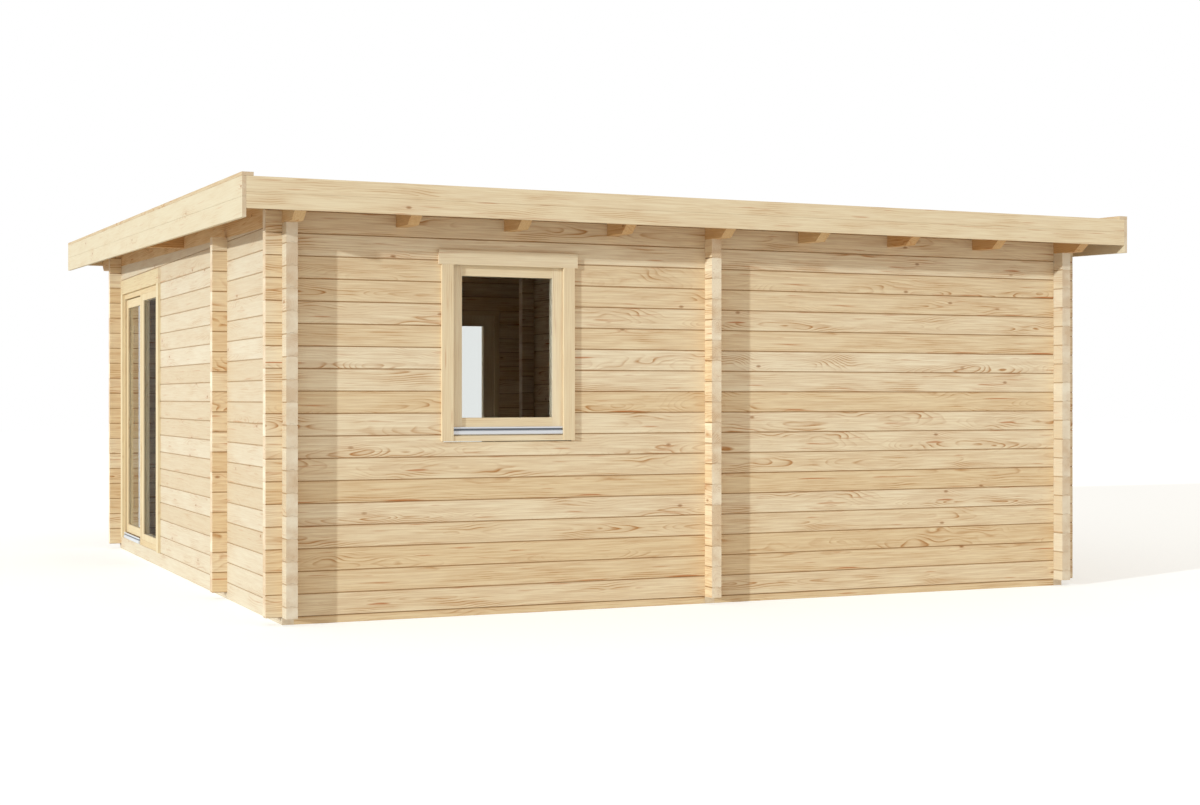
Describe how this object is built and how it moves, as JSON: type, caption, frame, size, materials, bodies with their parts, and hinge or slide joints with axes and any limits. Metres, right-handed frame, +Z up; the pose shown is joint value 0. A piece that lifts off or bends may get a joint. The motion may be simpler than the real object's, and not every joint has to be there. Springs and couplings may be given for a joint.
{
  "type": "log cabin",
  "caption": "Log cabin of machined logs with notched corners, a low mono-pitch roof on rafters, a window, a partition wall and glazed terrace doors with one opening leaf.",
  "frame": {"origin": "on the ground, under the middle of the roof", "axes": "+X along the window wall to the right as seen from outside, +Y from the low eave to the high eave, +Z up"},
  "size_m": [6.35, 7.465, 2.8253],
  "materials": {
    "log_spruce": "planed, untreated",
    "rafter_spruce": "planed, untreated",
    "roof_spruce": "planed, untreated",
    "trim_spruce": "planed, untreated",
    "floor_spruce": "planed, untreated",
    "joinery_spruce": "planed, untreated",
    "pane_glass": "clear",
    "bar_aluminium": "mill",
    "hinge_steel": "zinc plated"
  },
  "bodies": {
    "cabin": {"window_wall_logs": "log_spruce", "left_wall_logs": "log_spruce", "far_wall_logs": "log_spruce", "right_wall_logs": "log_spruce", "partition_logs": "log_spruce", "partition_end_logs": "log_spruce", "left_brace_logs": "log_spruce", "right_brace_logs": "log_spruce", "rafter_1": "rafter_spruce", "rafter_2": "rafter_spruce", "rafter_3": "rafter_spruce", "rafter_4": "rafter_spruce", "rafter_5": "rafter_spruce", "rafter_6": "rafter_spruce", "rafter_7": "rafter_spruce", "rafter_8": "rafter_spruce", "rafter_9": "rafter_spruce", "outriggers": "rafter_spruce", "floor_joists": "rafter_spruce", "roof_boards": "roof_spruce", "low_fascia": "trim_spruce", "high_fascia": "trim_spruce", "left_fascia": "trim_spruce", "right_fascia": "trim_spruce", "verge_caps": "trim_spruce", "window_casing": "trim_spruce", "terrace_casing": "trim_spruce", "far_door_casing": "trim_spruce", "floor_boards": "floor_spruce", "window_frame": "joinery_spruce", "window_sash": "joinery_spruce", "terrace_frame": "joinery_spruce", "far_door_frame": "joinery_spruce", "far_door_leaf": "joinery_spruce", "window_glass": "pane_glass", "terrace_fixed_glass": "pane_glass", "far_door_glass": "pane_glass", "window_weather_bar": "bar_aluminium", "terrace_weather_bar": "bar_aluminium", "far_door_weather_bar": "bar_aluminium", "terrace_hinge_pins": "hinge_steel"},
    "terrace_leaf": {"terrace_leaf": "joinery_spruce", "terrace_leaf_glass": "pane_glass", "terrace_hinge_knuckles": "hinge_steel"}
  },
  "joints": [
    {"name": "terrace_leaf_hinge", "type": "hinge", "parent": "cabin", "child": "terrace_leaf", "pos_m": [-2.779, 2.373, 1.2], "axis": [0, 0, 1], "range_deg": [0, 90]}
  ]
}
